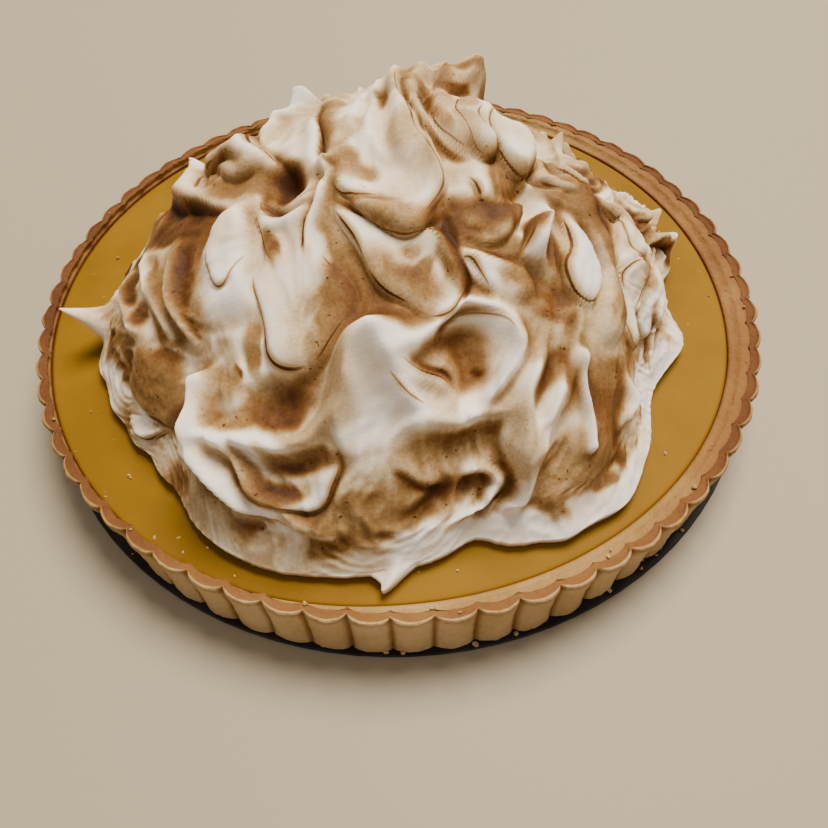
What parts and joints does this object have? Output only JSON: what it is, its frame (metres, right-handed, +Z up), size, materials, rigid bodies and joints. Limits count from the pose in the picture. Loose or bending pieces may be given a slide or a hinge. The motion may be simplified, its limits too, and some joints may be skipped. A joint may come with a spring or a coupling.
{
  "type": "lemon meringue pie",
  "caption": "Round lemon meringue pie: fluted tart crust, level lemon curd and a tall mound of swirled, toasted meringue, on the tart tin's loose base.",
  "frame": {"origin": "on the resting surface under the middle of the tin base", "axes": "+Z up, +Y away from the side the pie is seen from, +X to its right"},
  "size_m": [0.2498, 0.25, 0.0929],
  "materials": {
    "tin": "dark non-stick coating, satin",
    "crust": "baked shortcrust pastry, dry, browner on the rim",
    "curd": "set lemon curd, soft shine",
    "meringue": "soft meringue, satin, toasted brown on its raised faces and edges"
  },
  "bodies": {
    "root": {"tin_base": "tin", "crust": "crust", "filling": "curd", "meringue": "meringue"}
  },
  "joints": []
}
